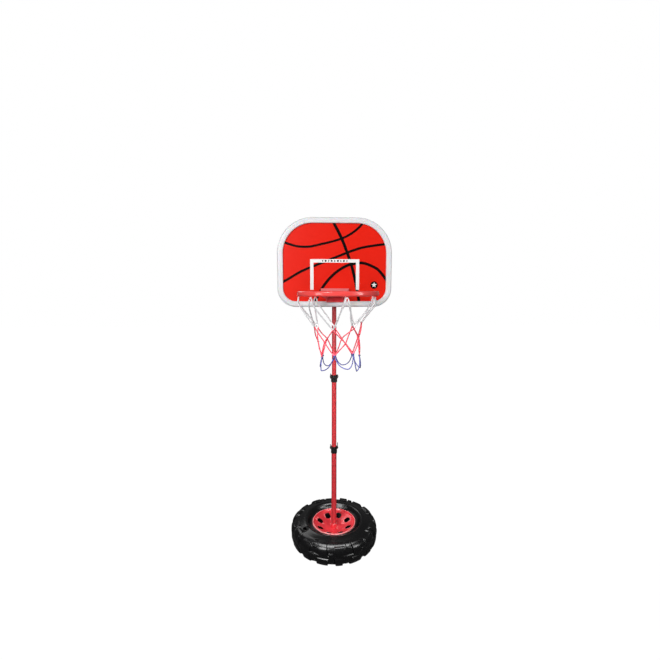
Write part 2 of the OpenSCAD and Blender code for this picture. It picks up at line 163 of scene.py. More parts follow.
def blowMouldedPolyethylene(look):
    material, tree, shader = startMaterial("blowMouldedPolyethylene", look)
    place = addNode(tree, "ShaderNodeTexCoord").outputs["Object"]
    wave = addNode(tree, "ShaderNodeTexNoise", {"Scale": perMetre(look["waveMm"]), "Detail": 3.0},
                   {"Vector": place})
    grain = addNode(tree, "ShaderNodeTexNoise", {"Scale": perMetre(look["grainMm"]), "Detail": 4.0},
                    {"Vector": place})
    # rubbed corners turn a little grey
    edge = addNode(tree, "ShaderNodeNewGeometry").outputs["Pointiness"]
    worn = addNode(tree, "ShaderNodeMapRange", {"From Min": 0.51, "From Max": 0.6}, {"Value": edge})
    patchy = addNode(tree, "ShaderNodeMath", {"operation": "MULTIPLY"},
                     {0: worn.outputs["Result"], 1: wave.outputs["Fac"]})
    skin = addNode(tree, "ShaderNodeMix", {"data_type": "RGBA", mixFrom: linearColour(look["colour"]),
                                           mixTo: linearColour(look["scuff"])},
                   {mixShare: patchy.outputs["Value"]})
    tree.links.new(skin.outputs[mixed], shader.inputs["Base Color"])
    gloss = addNode(tree, "ShaderNodeMapRange", {"To Min": look["roughness"] - 0.05,
                                                 "To Max": look["roughness"] + 0.07},
                    {"Value": wave.outputs["Fac"]})
    tree.links.new(gloss.outputs["Result"], shader.inputs["Roughness"])
    coarse = addNode(tree, "ShaderNodeBump", {"Strength": 0.4, "Distance": 0.5 * mm},
                     {"Height": wave.outputs["Fac"]})
    fine = addNode(tree, "ShaderNodeBump", {"Strength": 0.12, "Distance": 0.05 * mm},
                   {"Height": grain.outputs["Fac"], "Normal": coarse.outputs["Normal"]})
    tree.links.new(fine.outputs["Normal"], shader.inputs["Normal"])
    return material


# injection-moulded polypropylene: bright, waxy gloss with faint flow marks from the gate
# edge: the pale pink of a painted highlight on rounded edges, mixed in up to the share given
hubLook = {"colour": "#e63c45", "shade": "#d6303a", "edge": "#f7a3a4", "edgeHighlightShare": 0.7,
           "roughness": 0.2, "ior": 1.49, "scatter": 0.08, "scatterScale": 0.002,
           "flowMm": 26.0, "grainMm": 1.6}
bracketLook = dict(hubLook, colour="#dc3238", shade="#c8262e", roughness=0.24, edgeHighlightShare=0.5)
rimLook = dict(hubLook, colour="#f65350", shade="#f14b48", roughness=0.18, edgeHighlightShare=0.25)


def mouldedPolypropylene(name, look):
    material, tree, shader = startMaterial(name, look)
    place = addNode(tree, "ShaderNodeTexCoord").outputs["Object"]
    flow = addNode(tree, "ShaderNodeTexNoise", {"Scale": perMetre(look["flowMm"]), "Detail": 2.0,
                                                "Distortion": 1.5}, {"Vector": place})
    tint = addNode(tree, "ShaderNodeMix", {"data_type": "RGBA", mixFrom: linearColour(look["shade"]),
                                           mixTo: linearColour(look["colour"])},
                   {mixShare: flow.outputs["Fac"]})
    # painted highlight: thin rounded edges are painted pale, standing in for the light they catch
    edge = addNode(tree, "ShaderNodeNewGeometry").outputs["Pointiness"]
    thin = addNode(tree, "ShaderNodeMapRange", {"From Min": 0.515, "From Max": 0.58,
                                                "To Max": look["edgeHighlightShare"]}, {"Value": edge})
    # painted highlight: a pale ring painted round the hub's lip, picked out by its distance from the axis
    if "lipHighlightMm" in look:
        flat = addNode(tree, "ShaderNodeMapping", {"Scale": (1, 1, 0)}, {"Vector": place})
        out = addNode(tree, "ShaderNodeVectorMath", {"operation": "LENGTH"}, {0: flat.outputs["Vector"]})
        lipHighlight = addNode(tree, "ShaderNodeMapRange", {"From Min": (look["lipHighlightMm"] - 0.6) * mm,
                                                   "From Max": (look["lipHighlightMm"] + 0.6) * mm,
                                                   "To Max": look["edgeHighlightShare"]},
                      {"Value": out.outputs["Value"]})
        thin = addNode(tree, "ShaderNodeMath", {"operation": "MAXIMUM"},
                       {0: thin.outputs["Result"], 1: lipHighlight.outputs["Result"]})
    lit = addNode(tree, "ShaderNodeMix", {"data_type": "RGBA", mixTo: linearColour(look["edge"])},
                  {mixShare: thin.outputs[0], mixFrom: tint.outputs[mixed]})
    tree.links.new(lit.outputs[mixed], shader.inputs["Base Color"])
    gloss = addNode(tree, "ShaderNodeMapRange", {"To Min": look["roughness"] - 0.05,
                                                 "To Max": look["roughness"] + 0.08},
                    {"Value": flow.outputs["Fac"]})
    tree.links.new(gloss.outputs["Result"], shader.inputs["Roughness"])
    grain = addNode(tree, "ShaderNodeTexNoise", {"Scale": perMetre(look["grainMm"]), "Detail": 3.0},
                    {"Vector": place})
    peel = addNode(tree, "ShaderNodeBump", {"Strength": 0.18, "Distance": 0.08 * mm},
                   {"Height": grain.outputs["Fac"]})
    tree.links.new(peel.outputs["Normal"], shader.inputs["Normal"])
    return material


# powder-coated steel tube: even satin colour, faint orange peel of about 2 mm, faint rubbed lines
# along the tube from sliding in its collar
tubeLook = {"colour": "#bd2e34", "shade": "#bb2d33", "roughness": 0.36, "coat": 0.08,
            "coatRoughness": 0.2, "peelMm": 2.2, "rubMm": 1.2}


def powderCoatedSteel(look):
    material, tree, shader = startMaterial("powderCoatedSteel", look)
    place = addNode(tree, "ShaderNodeTexCoord").outputs["Object"]
    peel = addNode(tree, "ShaderNodeTexNoise", {"Scale": perMetre(look["peelMm"]), "Detail": 2.0},
                   {"Vector": place})
    drawn = addNode(tree, "ShaderNodeMapping", {"Scale": (1.0, 1.0, 0.02)}, {"Vector": place})
    rub = addNode(tree, "ShaderNodeTexNoise", {"Scale": perMetre(look["rubMm"]), "Detail": 3.0},
                  {"Vector": drawn.outputs["Vector"]})
    tint = addNode(tree, "ShaderNodeMix", {"data_type": "RGBA", mixFrom: linearColour(look["shade"]),
                                           mixTo: linearColour(look["colour"])},
                   {mixShare: rub.outputs["Fac"]})
    tree.links.new(tint.outputs[mixed], shader.inputs["Base Color"])
    gloss = addNode(tree, "ShaderNodeMapRange", {"From Min": 0.3, "From Max": 0.7,
                                                 "To Min": look["roughness"] - 0.02,
                                                 "To Max": look["roughness"] + 0.03},
                    {"Value": rub.outputs["Fac"]})
    tree.links.new(gloss.outputs["Result"], shader.inputs["Roughness"])
    bump = addNode(tree, "ShaderNodeBump", {"Strength": 0.05, "Distance": 0.02 * mm},
                   {"Height": peel.outputs["Fac"]})
    tree.links.new(bump.outputs["Normal"], shader.inputs["Normal"])
    return material


# printed polystyrene sheet: flat strong colour with a little press mottle, satin and nearly smooth
panelLook = {"colour": "#e9200d", "shade": "#e31c09", "roughness": 0.3, "ior": 1.5, "specular": 0.25,
             "mottleMm": 9.0, "dotMm": 1.4}


def printedPolystyrene(look):
    material, tree, shader = startMaterial("printedPolystyrene", look)
    place = addNode(tree, "ShaderNodeTexCoord").outputs["Object"]
    mottle = addNode(tree, "ShaderNodeTexNoise", {"Scale": perMetre(look["mottleMm"]), "Detail": 4.0},
                     {"Vector": place})
    tint = addNode(tree, "ShaderNodeMix", {"data_type": "RGBA", mixFrom: linearColour(look["shade"]),
                                           mixTo: linearColour(look["colour"])},
                   {mixShare: mottle.outputs["Fac"]})
    tree.links.new(tint.outputs[mixed], shader.inputs["Base Color"])
    dots = addNode(tree, "ShaderNodeTexVoronoi", {"Scale": perMetre(look["dotMm"])}, {"Vector": place})
    skin = addNode(tree, "ShaderNodeBump", {"Strength": 0.12, "Distance": 0.03 * mm},
                   {"Height": dots.outputs["Distance"]})
    tree.links.new(skin.outputs["Normal"], shader.inputs["Normal"])
    gloss = addNode(tree, "ShaderNodeMapRange", {"To Min": look["roughness"] - 0.04,
                                                 "To Max": look["roughness"] + 0.06},
                    {"Value": mottle.outputs["Fac"]})
    tree.links.new(gloss.outputs["Result"], shader.inputs["Roughness"])
    return material


# white moulded polyethylene: milky, light goes a little way in, handling marks dull it in patches
frameLook = {"colour": "#e6e6e8", "shade": "#dfdfe1", "roughness": 0.34, "ior": 1.5, "scatter": 0.15,
             "scatterScale": 0.003, "patchMm": 22.0, "grainMm": 1.8}


def whitePolyethylene(look):
    material, tree, shader = startMaterial("whitePolyethylene", look)
    place = addNode(tree, "ShaderNodeTexCoord").outputs["Object"]
    patch = addNode(tree, "ShaderNodeTexNoise", {"Scale": perMetre(look["patchMm"]), "Detail": 4.0},
                    {"Vector": place})
    tint = addNode(tree, "ShaderNodeMix", {"data_type": "RGBA", mixFrom: linearColour(look["shade"]),
                                           mixTo: linearColour(look["colour"])},
                   {mixShare: patch.outputs["Fac"]})
    tree.links.new(tint.outputs[mixed], shader.inputs["Base Color"])
    gloss = addNode(tree, "ShaderNodeMapRange", {"To Min": look["roughness"] - 0.08,
                                                 "To Max": look["roughness"] + 0.1},
                    {"Value": patch.outputs["Fac"]})
    tree.links.new(gloss.outputs["Result"], shader.inputs["Roughness"])
    grain = addNode(tree, "ShaderNodeTexNoise", {"Scale": perMetre(look["grainMm"]), "Detail": 3.0},
                    {"Vector": place})
    bump = addNode(tree, "ShaderNodeBump", {"Strength": 0.2, "Distance": 0.06 * mm},
                   {"Height": grain.outputs["Fac"]})
    tree.links.new(bump.outputs["Normal"], shader.inputs["Normal"])
    return material


# glass-filled nylon, spark-eroded mould: dull, evenly pitted, greyer where thumbs and edges rub
nylonLook = {"colour": "#090909", "worn": "#1c1c1d", "roughness": 0.4, "ior": 1.53, "specular": 0.3,
             "pitMm": 0.9}


def glassFilledNylon(look):
    material, tree, shader = startMaterial("glassFilledNylon", look)
    place = addNode(tree, "ShaderNodeTexCoord").outputs["Object"]
    pits = addNode(tree, "ShaderNodeTexVoronoi", {"Scale": perMetre(look["pitMm"])}, {"Vector": place})
    edge = addNode(tree, "ShaderNodeNewGeometry").outputs["Pointiness"]
    rubbed = addNode(tree, "ShaderNodeMapRange", {"From Min": 0.52, "From Max": 0.64, "To Max": 0.8},
                     {"Value": edge})
    tint = addNode(tree, "ShaderNodeMix", {"data_type": "RGBA", mixFrom: linearColour(look["colour"]),
                                           mixTo: linearColour(look["worn"])},
                   {mixShare: rubbed.outputs["Result"]})
    tree.links.new(tint.outputs[mixed], shader.inputs["Base Color"])
    gloss = addNode(tree, "ShaderNodeMapRange", {"To Min": look["roughness"] - 0.1,
                                                 "To Max": look["roughness"] + 0.12},
                    {"Value": pits.outputs["Distance"]})
    tree.links.new(gloss.outputs["Result"], shader.inputs["Roughness"])
    bump = addNode(tree, "ShaderNodeBump", {"Strength": 0.15, "Distance": 0.04 * mm},
                   {"Height": pits.outputs["Distance"]})
    tree.links.new(bump.outputs["Normal"], shader.inputs["Normal"])
    return material


# natural polyethylene bush: milky and waxy, light passes into it
bushLook = {"colour": "#dcdbd5", "roughness": 0.42, "ior": 1.5, "scatter": 0.4, "scatterScale": 0.004,
            "cloudMm": 5.0}


def naturalPolyethylene(look):
    material, tree, shader = startMaterial("naturalPolyethylene", look)
    place = addNode(tree, "ShaderNodeTexCoord").outputs["Object"]
    cloud = addNode(tree, "ShaderNodeTexNoise", {"Scale": perMetre(look["cloudMm"]), "Detail": 3.0},
                    {"Vector": place})
    gloss = addNode(tree, "ShaderNodeMapRange", {"To Min": 0.34, "To Max": 0.52},
                    {"Value": cloud.outputs["Fac"]})
    tree.links.new(gloss.outputs["Result"], shader.inputs["Roughness"])
    return material


# nitrile gasket: matt and a little bloomed
gasketLook = {"colour": "#1d1d1e", "bloom": "#2c2c2e", "roughness": 0.75, "ior": 1.52, "bloomMm": 3.0}


def nitrileRubber(look):
    material, tree, shader = startMaterial("nitrileRubber", look)
    place = addNode(tree, "ShaderNodeTexCoord").outputs["Object"]
    bloom = addNode(tree, "ShaderNodeTexNoise", {"Scale": perMetre(look["bloomMm"]), "Detail": 4.0},
                    {"Vector": place})
    tint = addNode(tree, "ShaderNodeMix", {"data_type": "RGBA", mixFrom: linearColour(look["colour"]),
                                           mixTo: linearColour(look["bloom"])},
                   {mixShare: bloom.outputs["Fac"]})
    tree.links.new(tint.outputs[mixed], shader.inputs["Base Color"])
    return material


# zinc-plated steel: cool grey metal, its gloss broken by fine spangle
zincLook = {"colour": "#b9bcc0", "shade": "#9ea2a8", "roughness": 0.3, "metallic": 1.0,
            "spangleMm": 1.5}


def zincPlatedSteel(look):
    material, tree, shader = startMaterial("zincPlatedSteel", look)
    place = addNode(tree, "ShaderNodeTexCoord").outputs["Object"]
    spangle = addNode(tree, "ShaderNodeTexVoronoi", {"Scale": perMetre(look["spangleMm"])},
                      {"Vector": place})
    tint = addNode(tree, "ShaderNodeMix", {"data_type": "RGBA", mixFrom: linearColour(look["shade"]),
                                           mixTo: linearColour(look["colour"])},
                   {mixShare: spangle.outputs["Distance"]})
    tree.links.new(tint.outputs[mixed], shader.inputs["Base Color"])
    gloss = addNode(tree, "ShaderNodeMapRange", {"To Min": 0.22, "To Max": 0.42},
                    {"Value": spangle.outputs["Distance"]})
    tree.links.new(gloss.outputs["Result"], shader.inputs["Roughness"])
    return material


# screen-printed ink: opaque, a touch matter than the sheet below, with the screen's faint texture
blackInkLook = {"colour": "#040404", "thin": "#080809", "roughness": 0.38, "ior": 1.45,
                "specular": 0.12, "screenMm": 1.2}
whiteInkLook = {"colour": "#f7f7f6", "thin": "#efedec", "roughness": 0.45, "ior": 1.5, "screenMm": 1.2}


def screenInk(name, look):
    material, tree, shader = startMaterial(name, look)
    place = addNode(tree, "ShaderNodeTexCoord").outputs["Object"]
    screen = addNode(tree, "ShaderNodeTexNoise", {"Scale": perMetre(look["screenMm"]), "Detail": 2.0},
                     {"Vector": place})
    tint = addNode(tree, "ShaderNodeMix", {"data_type": "RGBA", mixFrom: linearColour(look["colour"]),
                                           mixTo: linearColour(look["thin"])},
                   {mixShare: screen.outputs["Fac"]})
    tree.links.new(tint.outputs[mixed], shader.inputs["Base Color"])
    bump = addNode(tree, "ShaderNodeBump", {"Strength": 0.2, "Distance": 0.03 * mm},
                   {"Height": screen.outputs["Fac"]})
    tree.links.new(bump.outputs["Normal"], shader.inputs["Normal"])
    return material


# braided nylon cord: soft sheen, strands crossing about every 2 mm, with painted shade darkening the
# valleys between them; the braid's scale goes by the cord's own map, whose unit is two cord widths
whiteCordLook = {"colour": "#f2f2f3", "valleyShade": "#d2d2d6", "roughness": 0.6, "sheen": 0.3,
                 "sheenRoughness": 0.4, "braidScale": 2.0}
redCordLook = dict(whiteCordLook, colour="#ea2f48", valleyShade="#c01f36")
blueCordLook = dict(whiteCordLook, colour="#1f2474", valleyShade="#101345")


def braidedNylon(name, look):
    material, tree, shader = startMaterial(name, look)
    around = addNode(tree, "ShaderNodeUVMap", {"uv_map": "cordMap"}).outputs["UV"]
    braid = addNode(tree, "ShaderNodeTexWave", {"wave_type": "BANDS", "bands_direction": "DIAGONAL",
                                                "Scale": look["braidScale"], "Distortion": 0.6},
                    {"Vector": around})
    # painted shade: the darker colour goes into the dips between the strands
    tint = addNode(tree, "ShaderNodeMix", {"data_type": "RGBA", mixFrom: linearColour(look["valleyShade"]),
                                           mixTo: linearColour(look["colour"])},
                   {mixShare: braid.outputs["Fac"]})
    tree.links.new(tint.outputs[mixed], shader.inputs["Base Color"])
    bump = addNode(tree, "ShaderNodeBump", {"Strength": 0.6, "Distance": 0.15 * mm},
                   {"Height": braid.outputs["Fac"]})
    tree.links.new(bump.outputs["Normal"], shader.inputs["Normal"])
    return material


finishes = {
    "tyre_plastic": blowMouldedPolyethylene(tyreLook),
    "red_plastic": mouldedPolypropylene("mouldedPolypropyleneRed", bracketLook),
    "rim_plastic": mouldedPolypropylene("mouldedPolypropyleneRim", rimLook),
    "black_plastic": glassFilledNylon(nylonLook),
    "clear_plastic": naturalPolyethylene(bushLook),
    "black_rubber": nitrileRubber(gasketLook),
    "zinc_steel": zincPlatedSteel(zincLook),
    "red_enamel": powderCoatedSteel(tubeLook),
    "red_panel": printedPolystyrene(panelLook),
    "white_plastic": whitePolyethylene(frameLook),
    "black_ink": screenInk("screenInkBlack", blackInkLook),
    "white_ink": screenInk("screenInkWhite", whiteInkLook),
    "white_cord": braidedNylon("braidedNylonWhite", whiteCordLook),
    "red_cord": braidedNylon("braidedNylonRed", redCordLook),
    "blue_cord": braidedNylon("braidedNylonBlue", blueCordLook),
}
# the hub alone gets the painted highlight ring on its lip, 67.2 mm out from the axis
hubFinish = mouldedPolypropylene("mouldedPolypropyleneHub", dict(hubLook, lipHighlightMm=67.2))
print("materials made:", len(finishes) + 1)


# ---- CAD nodes that stay: a finish and eased edges
easedMm = {
    "hub_plate": 0.7, "filler_cap": 0.6, "filler_gasket": 0.2, "pole_screw": 0.15,
    "lower_foot_plug": 0.3, "lower_collar": 0.5, "lower_grip_bush": 0.15, "lower_lock_pins": 0.2,
    "lower_lock_lever": 0.5, "middle_end_plug": 0.3, "upper_collar": 0.5, "upper_grip_bush": 0.15,
    "upper_lock_pins": 0.2, "upper_lock_lever": 0.5, "upper_end_plug": 0.3, "rear_bracket": 0.8,
    "bracket_bolts": 0.2, "tube_screw": 0.15, "backboard_panel": 0.2, "frame_clips": 0.25,
    "rim_bracket": 1.6, "rim_ring": 0.3, "rim_screws": 0.15,
}
easing = {"weldMm": 0.005, "flatDeg": 0.6, "steps": 3, "sharpDeg": 34, "evenWeight": 60}


def easeEdges(node, widthMm, spec):
    weld = node.modifiers.new("weld", "WELD")
    weld.merge_threshold = spec["weldMm"] * mm
    flat = node.modifiers.new("flat", "DECIMATE")
    flat.decimate_type = "DISSOLVE"
    flat.angle_limit = math.radians(spec["flatDeg"])
    ease = node.modifiers.new("ease", "BEVEL")
    ease.width = widthMm * mm
    ease.segments = spec["steps"]
    ease.limit_method = "ANGLE"
    ease.angle_limit = math.radians(spec["sharpDeg"])
    even = node.modifiers.new("even", "WEIGHTED_NORMAL")
    even.weight = spec["evenWeight"]


slots = {entry["node"]: entry["material_slot"] for entry in frame["record"]["subparts"]}
for name, node in nodes.items():
    finish = hubFinish if name == "hub_plate" else finishes[slots[name]]
    node.data.materials.clear()
    node.data.materials.append(finish)
    if name in easedMm:
        easeEdges(node, easedMm[name], easing)
print("CAD nodes finished")


# ---- tyre-shaped base
tyre = {
    "columns": 1080,            # steps round the tyre
    "stepMm": 1.3,              # steps along its section
    "footMm": 45,               # a longer stretch of the section is flat and gets fewer steps
    "footSteps": 6,
    "carcassMm": 134,
    "shoulderMm": 22,
    "upperBend": 43,            # heights at which the sidewall's two bends start
    "lowerBend": 22,
    "repeats": 8,
    "lugMm": 5.6,
    "lugRadius": 137,           # where the lugs' widths in degrees are measured
    "splitMm": 60,              # the lugs' lower row starts this far down the section
    "lowerShare": 0.72,         # the lower row is shallower
    "edgeMm": 2.0,              # rounding of a lug's edge
    "edgeStretch": 1.6,
    "band": (58, 72, 4, 0.42),  # low band between the rows: start, end, rounding, share of the height
    "lugsFrom": 100,            # no lugs nearer the axis than this
    "midHeight": 40,
    "upperRunOut": (104, 22),   # radius where the lugs begin to rise, and over how much they do
    "lowerRunOut": (108, 16),
    "seam": (34, 1.2, 0.35),    # parting line of the mould: height, half width and how far it stands out
}
# lugs of one repeat: centre and width in degrees, top and bottom along the section, height, slant
tyreLugs = [
    (27.0, 12.5, 22, 63, 1.0, 3.0),
    (15.3, 6.5, 17, 44, 0.75, 2.0),
    (3.0, 14.5, 34, 62, 0.85, -2.0),
    (26.2, 16.0, 67, 118, 1.0, -3.0),
    (3.6, 10.5, 66, 118, 1.0, 2.0),
    (-6.0, 6.0, 52, 84, 0.55, 3.0),
    (14.0, 5.0, 58, 88, 0.55, -3.0),
]


# the carcass from the hub's recess over the bead and the crest to the floor, as (radius, height) in mm
def tyreSection(spec):
    bend = spec["shoulderMm"]
    side = spec["carcassMm"] - bend
    quarter = [math.radians(a) for a in range(0, 91, 10)]
    inner = [(0, 22), (40, 22), (58, 22), (59.4, 23), (62.6, 52), (63.4, 54), (70.8, 54), (71.3, 54.6),
             (71.5, 58.3), (72.1, 60.4), (73.5, 61.7), (75.3, 61.7), (77.0, 60.6), (78.6, 58.8),
             (79.8, 58.0), (81.2, 59.0), (82.8, 61.9), (84.6, 65.3), (87.2, 68.5), (90.4, 69.9)]
    top = [(93, 70), (96, 69.7), (100, 68.8), (106, 67.0)]
    upper = [(side + bend * math.sin(a), spec["upperBend"] + bend * math.cos(a)) for a in quarter]
    lower = [(side + bend * math.cos(a), spec["lowerBend"] - bend * math.sin(a)) for a in quarter]
    return inner, top + upper + lower + [(60, 0), (0, 0)]


def resample(points, spec):
    made = [points[0]]
    for a, b in zip(points, points[1:]):
        length = math.dist(a, b)
        count = max(1, round(length / spec["stepMm"])) if length < spec["footMm"] else spec["footSteps"]
        made += [(a[0] + (b[0] - a[0]) * k / count, a[1] + (b[1] - a[1]) * k / count)
                 for k in range(1, count + 1)]
    return made


def smoothStep(x):
    x = min(1.0, max(0.0, x))
    return x * x * (3 - 2 * x)


# share of the full lug height at an angle from the front and a distance down from the crest
def lugHeight(angleDeg, along, spec):
    period = 360 / spec["repeats"]
    best = 0.0
    for centre, width, top, bottom, share, slant in tyreLugs:
        if not top - 2 < along < bottom + 2:
            continue
        middle = centre + slant * (along - (top + bottom) / 2) / (bottom - top)
        away = abs((angleDeg - middle + period / 2) % period - period / 2)
        sideways = (width / 2 - away) * math.radians(1) * spec["lugRadius"]
        lengthways = min(along - top, bottom - along)
        rise = smoothStep(sideways / spec["edgeMm"])
        rise *= smoothStep(lengthways / (spec["edgeMm"] * spec["edgeStretch"]))
        best = max(best, rise * share * (spec["lowerShare"] if top > spec["splitMm"] else 1.0))
    start, end, rounding, share = spec["band"]
    band = smoothStep((along - start) / rounding) * smoothStep((end - along) / rounding) * share
    return max(best, band)


def makeTyre(spec):
    inner, outer = tyreSection(spec)
    section = inner + resample(outer, spec)
    start = len(inner)
    along = [0.0] * len(section)
    for i in range(start + 1, len(section)):
        along[i] = along[i - 1] + math.dist(section[i - 1], section[i])
    normals = []
    for i in range(len(section)):
        a, b = section[max(i - 1, 0)], section[min(i + 1, len(section) - 1)]
        dr, dz = b[0] - a[0], b[1] - a[1]
        length = math.hypot(dr, dz) or 1.0
        normals.append((-dz / length, dr / length))
    seamHeight, seamHalf, seamProud = spec["seam"]
    built = bmesh.new()
    rings = []
    columns = spec["columns"]
    for i, (r, z) in enumerate(section):
        if r == 0:
            rings.append([built.verts.new((0, 0, z * mm))])
            continue
        ring = []
        for k in range(columns):
            degrees = k * 360 / columns
            lift = 0.0
            if i > start and r > spec["lugsFrom"]:
                riseFrom, riseOver = spec["upperRunOut"] if z > spec["midHeight"] else spec["lowerRunOut"]
                lift = lugHeight(degrees, along[i], spec) * spec["lugMm"]
                lift *= smoothStep((r - riseFrom) / riseOver)
                if abs(z - seamHeight) < seamHalf:
                    lift += seamProud
            nr, nz = normals[i]
            out, up = r + nr * lift, max(0.0, z + nz * lift)
            turn = math.radians(degrees)
            ring.append(built.verts.new((out * mm * math.sin(turn), -out * mm * math.cos(turn), up * mm)))
        rings.append(ring)
    for lower, upper in zip(rings, rings[1:]):
        for k in range(columns):
            n = (k + 1) % columns
            if len(lower) == 1:
                built.faces.new((lower[0], upper[n], upper[k]))
            elif len(upper) == 1:
                built.faces.new((lower[k], lower[n], upper[0]))
            else:
                built.faces.new((lower[k], lower[n], upper[n], upper[k]))
    mesh = takeMesh(built, "tyre_body")
    shadeSmooth(mesh, 50)
    return mesh


# a round tool for one upright hole, from lowMm to highMm above the floor
def cutter(name, centre, radiusMm, lowMm, highMm):
    built = bmesh.new()
    radius = radiusMm * mm
    place = Matrix.Translation((centre[0], centre[1], (lowMm + highMm) / 2 * mm))
    bmesh.ops.create_cone(built, cap_ends=True, segments=64, radius1=radius, radius2=radius,
                          depth=(highMm - lowMm) * mm, matrix=place)
    tool = bpy.data.objects.new(name, takeMesh(built, name))
    bpy.context.scene.collection.objects.link(tool)
    return tool


def cutHoles(piece, tools):
    for tool in tools:
        cut = piece.modifiers.new(tool.name, "BOOLEAN")
        cut.object = tool
        cut.operation = "DIFFERENCE"
        cut.solver = "EXACT"
    graph = bpy.context.evaluated_depsgraph_get()
    done = bpy.data.meshes.new_from_object(piece.evaluated_get(graph))
    piece.modifiers.clear()
    piece.data = done
    for tool in tools:
        bpy.data.objects.remove(tool)


# the pole's well, the filler plug's seat and its hole
tyreHoles = {"wellRadius": 8.3, "wellFloor": 6, "wellTop": 60, "seatRadius": 11.0, "fillerRadius": 7.0,
             "fillerFloor": 40, "fillerTop": 90}
capLow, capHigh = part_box("filler_cap")
capCentre = (capLow + capHigh) / 2
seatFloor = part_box("filler_gasket")[0].z / mm
tyreBody = newPiece("tyre_body", makeTyre(tyre), "base", "tyre_plastic", "base_tyre")
cutHoles(tyreBody, [
    cutter("well_cut", (0, 0), tyreHoles["wellRadius"], tyreHoles["wellFloor"], tyreHoles["wellTop"]),
    cutter("seat_cut", capCentre, tyreHoles["seatRadius"], seatFloor, tyreHoles["fillerTop"]),
    cutter("filler_cut", capCentre, tyreHoles["fillerRadius"], tyreHoles["fillerFloor"],
           tyreHoles["fillerTop"]),
])
tyreBody.data.materials.clear()
tyreBody.data.materials.append(finishes["tyre_plastic"])
print("tyre made:", len(tyreBody.data.polygons), "faces")


# ---- backboard frame: one moulded rail swept round the board
rail = {"bandMm": 17.0, "topRadiusMm": 105.0, "bottomRadiusMm": 55.0, "outerRound": 6.5,
        "innerRound": 3.0, "cornerSteps": 24, "sectionSteps": 6}


# an outline of quarter rounds, each given as the place of its middle, its radius and its first angle
def quarterRounds(corners, steps):
    made = []
    for x, y, r, start in corners:
        for k in range(steps + 1):
            turn = math.radians(start + 90 * k / steps)
            made.append((x + r * math.cos(turn), y + r * math.sin(turn)))
    return made


# the board's corners anticlockwise from the lower right, as (x, z) about its middle
def boardOutline(width, height, upper, lower, steps):
    corners = [(width / 2 - lower, lower - height / 2, lower, -90),
               (width / 2 - upper, height / 2 - upper, upper, 0),
               (upper - width / 2, height / 2 - upper, upper, 90),
               (lower - width / 2, lower - height / 2, lower, 180)]
    return quarterRounds(corners, steps)


# the rail's section as (inset from the outer edge, depth from the front), in mm
def railSection(spec, depth):
    band, big, small = spec["bandMm"], spec["outerRound"], spec["innerRound"]
    corners = [(big, big, big, 180), (band - small, small, small, 270),
               (band - small, depth - small, small, 0), (big, depth - big, big, 90)]
    return quarterRounds(corners, spec["sectionSteps"])


def makeRail(spec):
    low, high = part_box("backboard_frame")
    width, height = (high.x - low.x) / mm, (high.z - low.z) / mm
    depth = (high.y - low.y) / mm
    middle = (low.z + high.z) / 2
    built = bmesh.new()
    loops = []
    for inset, back in railSection(spec, depth):
        outline = boardOutline(width - 2 * inset, height - 2 * inset, spec["topRadiusMm"] - inset,
                               spec["bottomRadiusMm"] - inset, spec["cornerSteps"])
        loops.append([built.verts.new((x * mm, low.y + back * mm, middle + z * mm)) for x, z in outline])
    for a, b in zip(loops, loops[1:] + loops[:1]):
        for k in range(len(a)):
            n = (k + 1) % len(a)
            built.faces.new((a[k], a[n], b[n], b[k]))
    mesh = takeMesh(built, "frame_rail")
    shadeSmooth(mesh)
    return mesh


newPiece("frame_rail", makeRail(rail), "hoop", "white_plastic", "backboard_frame")
print("frame made")


# ---- print on the panel that the CAD leaves out: plain marks on the target and a star in the round mark
marks = {"count": 9, "widthMm": 5.0, "narrowShare": 0.55, "heightMm": 5.0, "pitchMm": 9.0,
         "belowTopMm": 5, "thickMm": 0.15}
star = {"points": 5, "outerMm": 8.5, "innerMm": 3.6, "thickMm": 0.15}


# thin prints standing in front of the plane y = front, each from a list of (x, z) in metres
def flatPrint(name, outlines, front, thick):
    built = bmesh.new()
    for outline in outlines:
        near = [built.verts.new((x, front - thick, z)) for x, z in outline]
        far = [built.verts.new((x, front, z)) for x, z in outline]
        built.faces.new(near)
        built.faces.new(list(reversed(far)))
        for k in range(len(near)):
            n = (k + 1) % len(near)
            built.faces.new((near[k], far[k], far[n], near[n]))
    return takeMesh(built, name)


def makeMarks(spec):
    low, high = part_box("target_outline")
    centreX = (low.x + high.x) / 2
    centreZ = high.z - spec["belowTopMm"] * mm
    outlines = []
    for k in range(spec["count"]):
        x = centreX + (k - (spec["count"] - 1) / 2) * spec["pitchMm"] * mm
        w = spec["widthMm"] / 2 * mm * (1.0 if k % 2 else spec["narrowShare"])
        h = spec["heightMm"] / 2 * mm
        foot, head = centreZ - h, centreZ + h
        outlines.append([(x - w, foot), (x + w, foot), (x + w, head), (x - w, head)])
    return flatPrint("target_marks", outlines, low.y, spec["thickMm"] * mm)


def makeStar(spec):
    low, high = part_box("panel_emblem")
    centre = (low + high) / 2
    outline = []
    for k in range(2 * spec["points"]):
        turn = math.radians(90 + k * 180 / spec["points"])
        r = (spec["innerMm"] if k % 2 else spec["outerMm"]) * mm
        outline.append((centre.x + r * math.cos(turn), centre.z + r * math.sin(turn)))
    return flatPrint("star_mark", [outline], low.y, spec["thickMm"] * mm)


newPiece("target_marks", makeMarks(marks), "hoop", "black_ink")
newPiece("star_mark", makeStar(star), "hoop", "white_ink")
print("prints made")


# ---- grip ribs round the front of each lock collar
ribs = {
    "count": 9,
    "spanDeg": 130,
    "collarMm": 9.8,        # radius on which the ribs stand
    "sunkMm": 0.05,
    "widthMm": 1.5,
    "proudMm": 0.45,
    "endMm": 3.0,           # clear below and above a rib
    "topMm": 4,
    "steps": 8,
    "sides": 8,
    "tipShare": 0.3,        # size left at a rib's ends
}


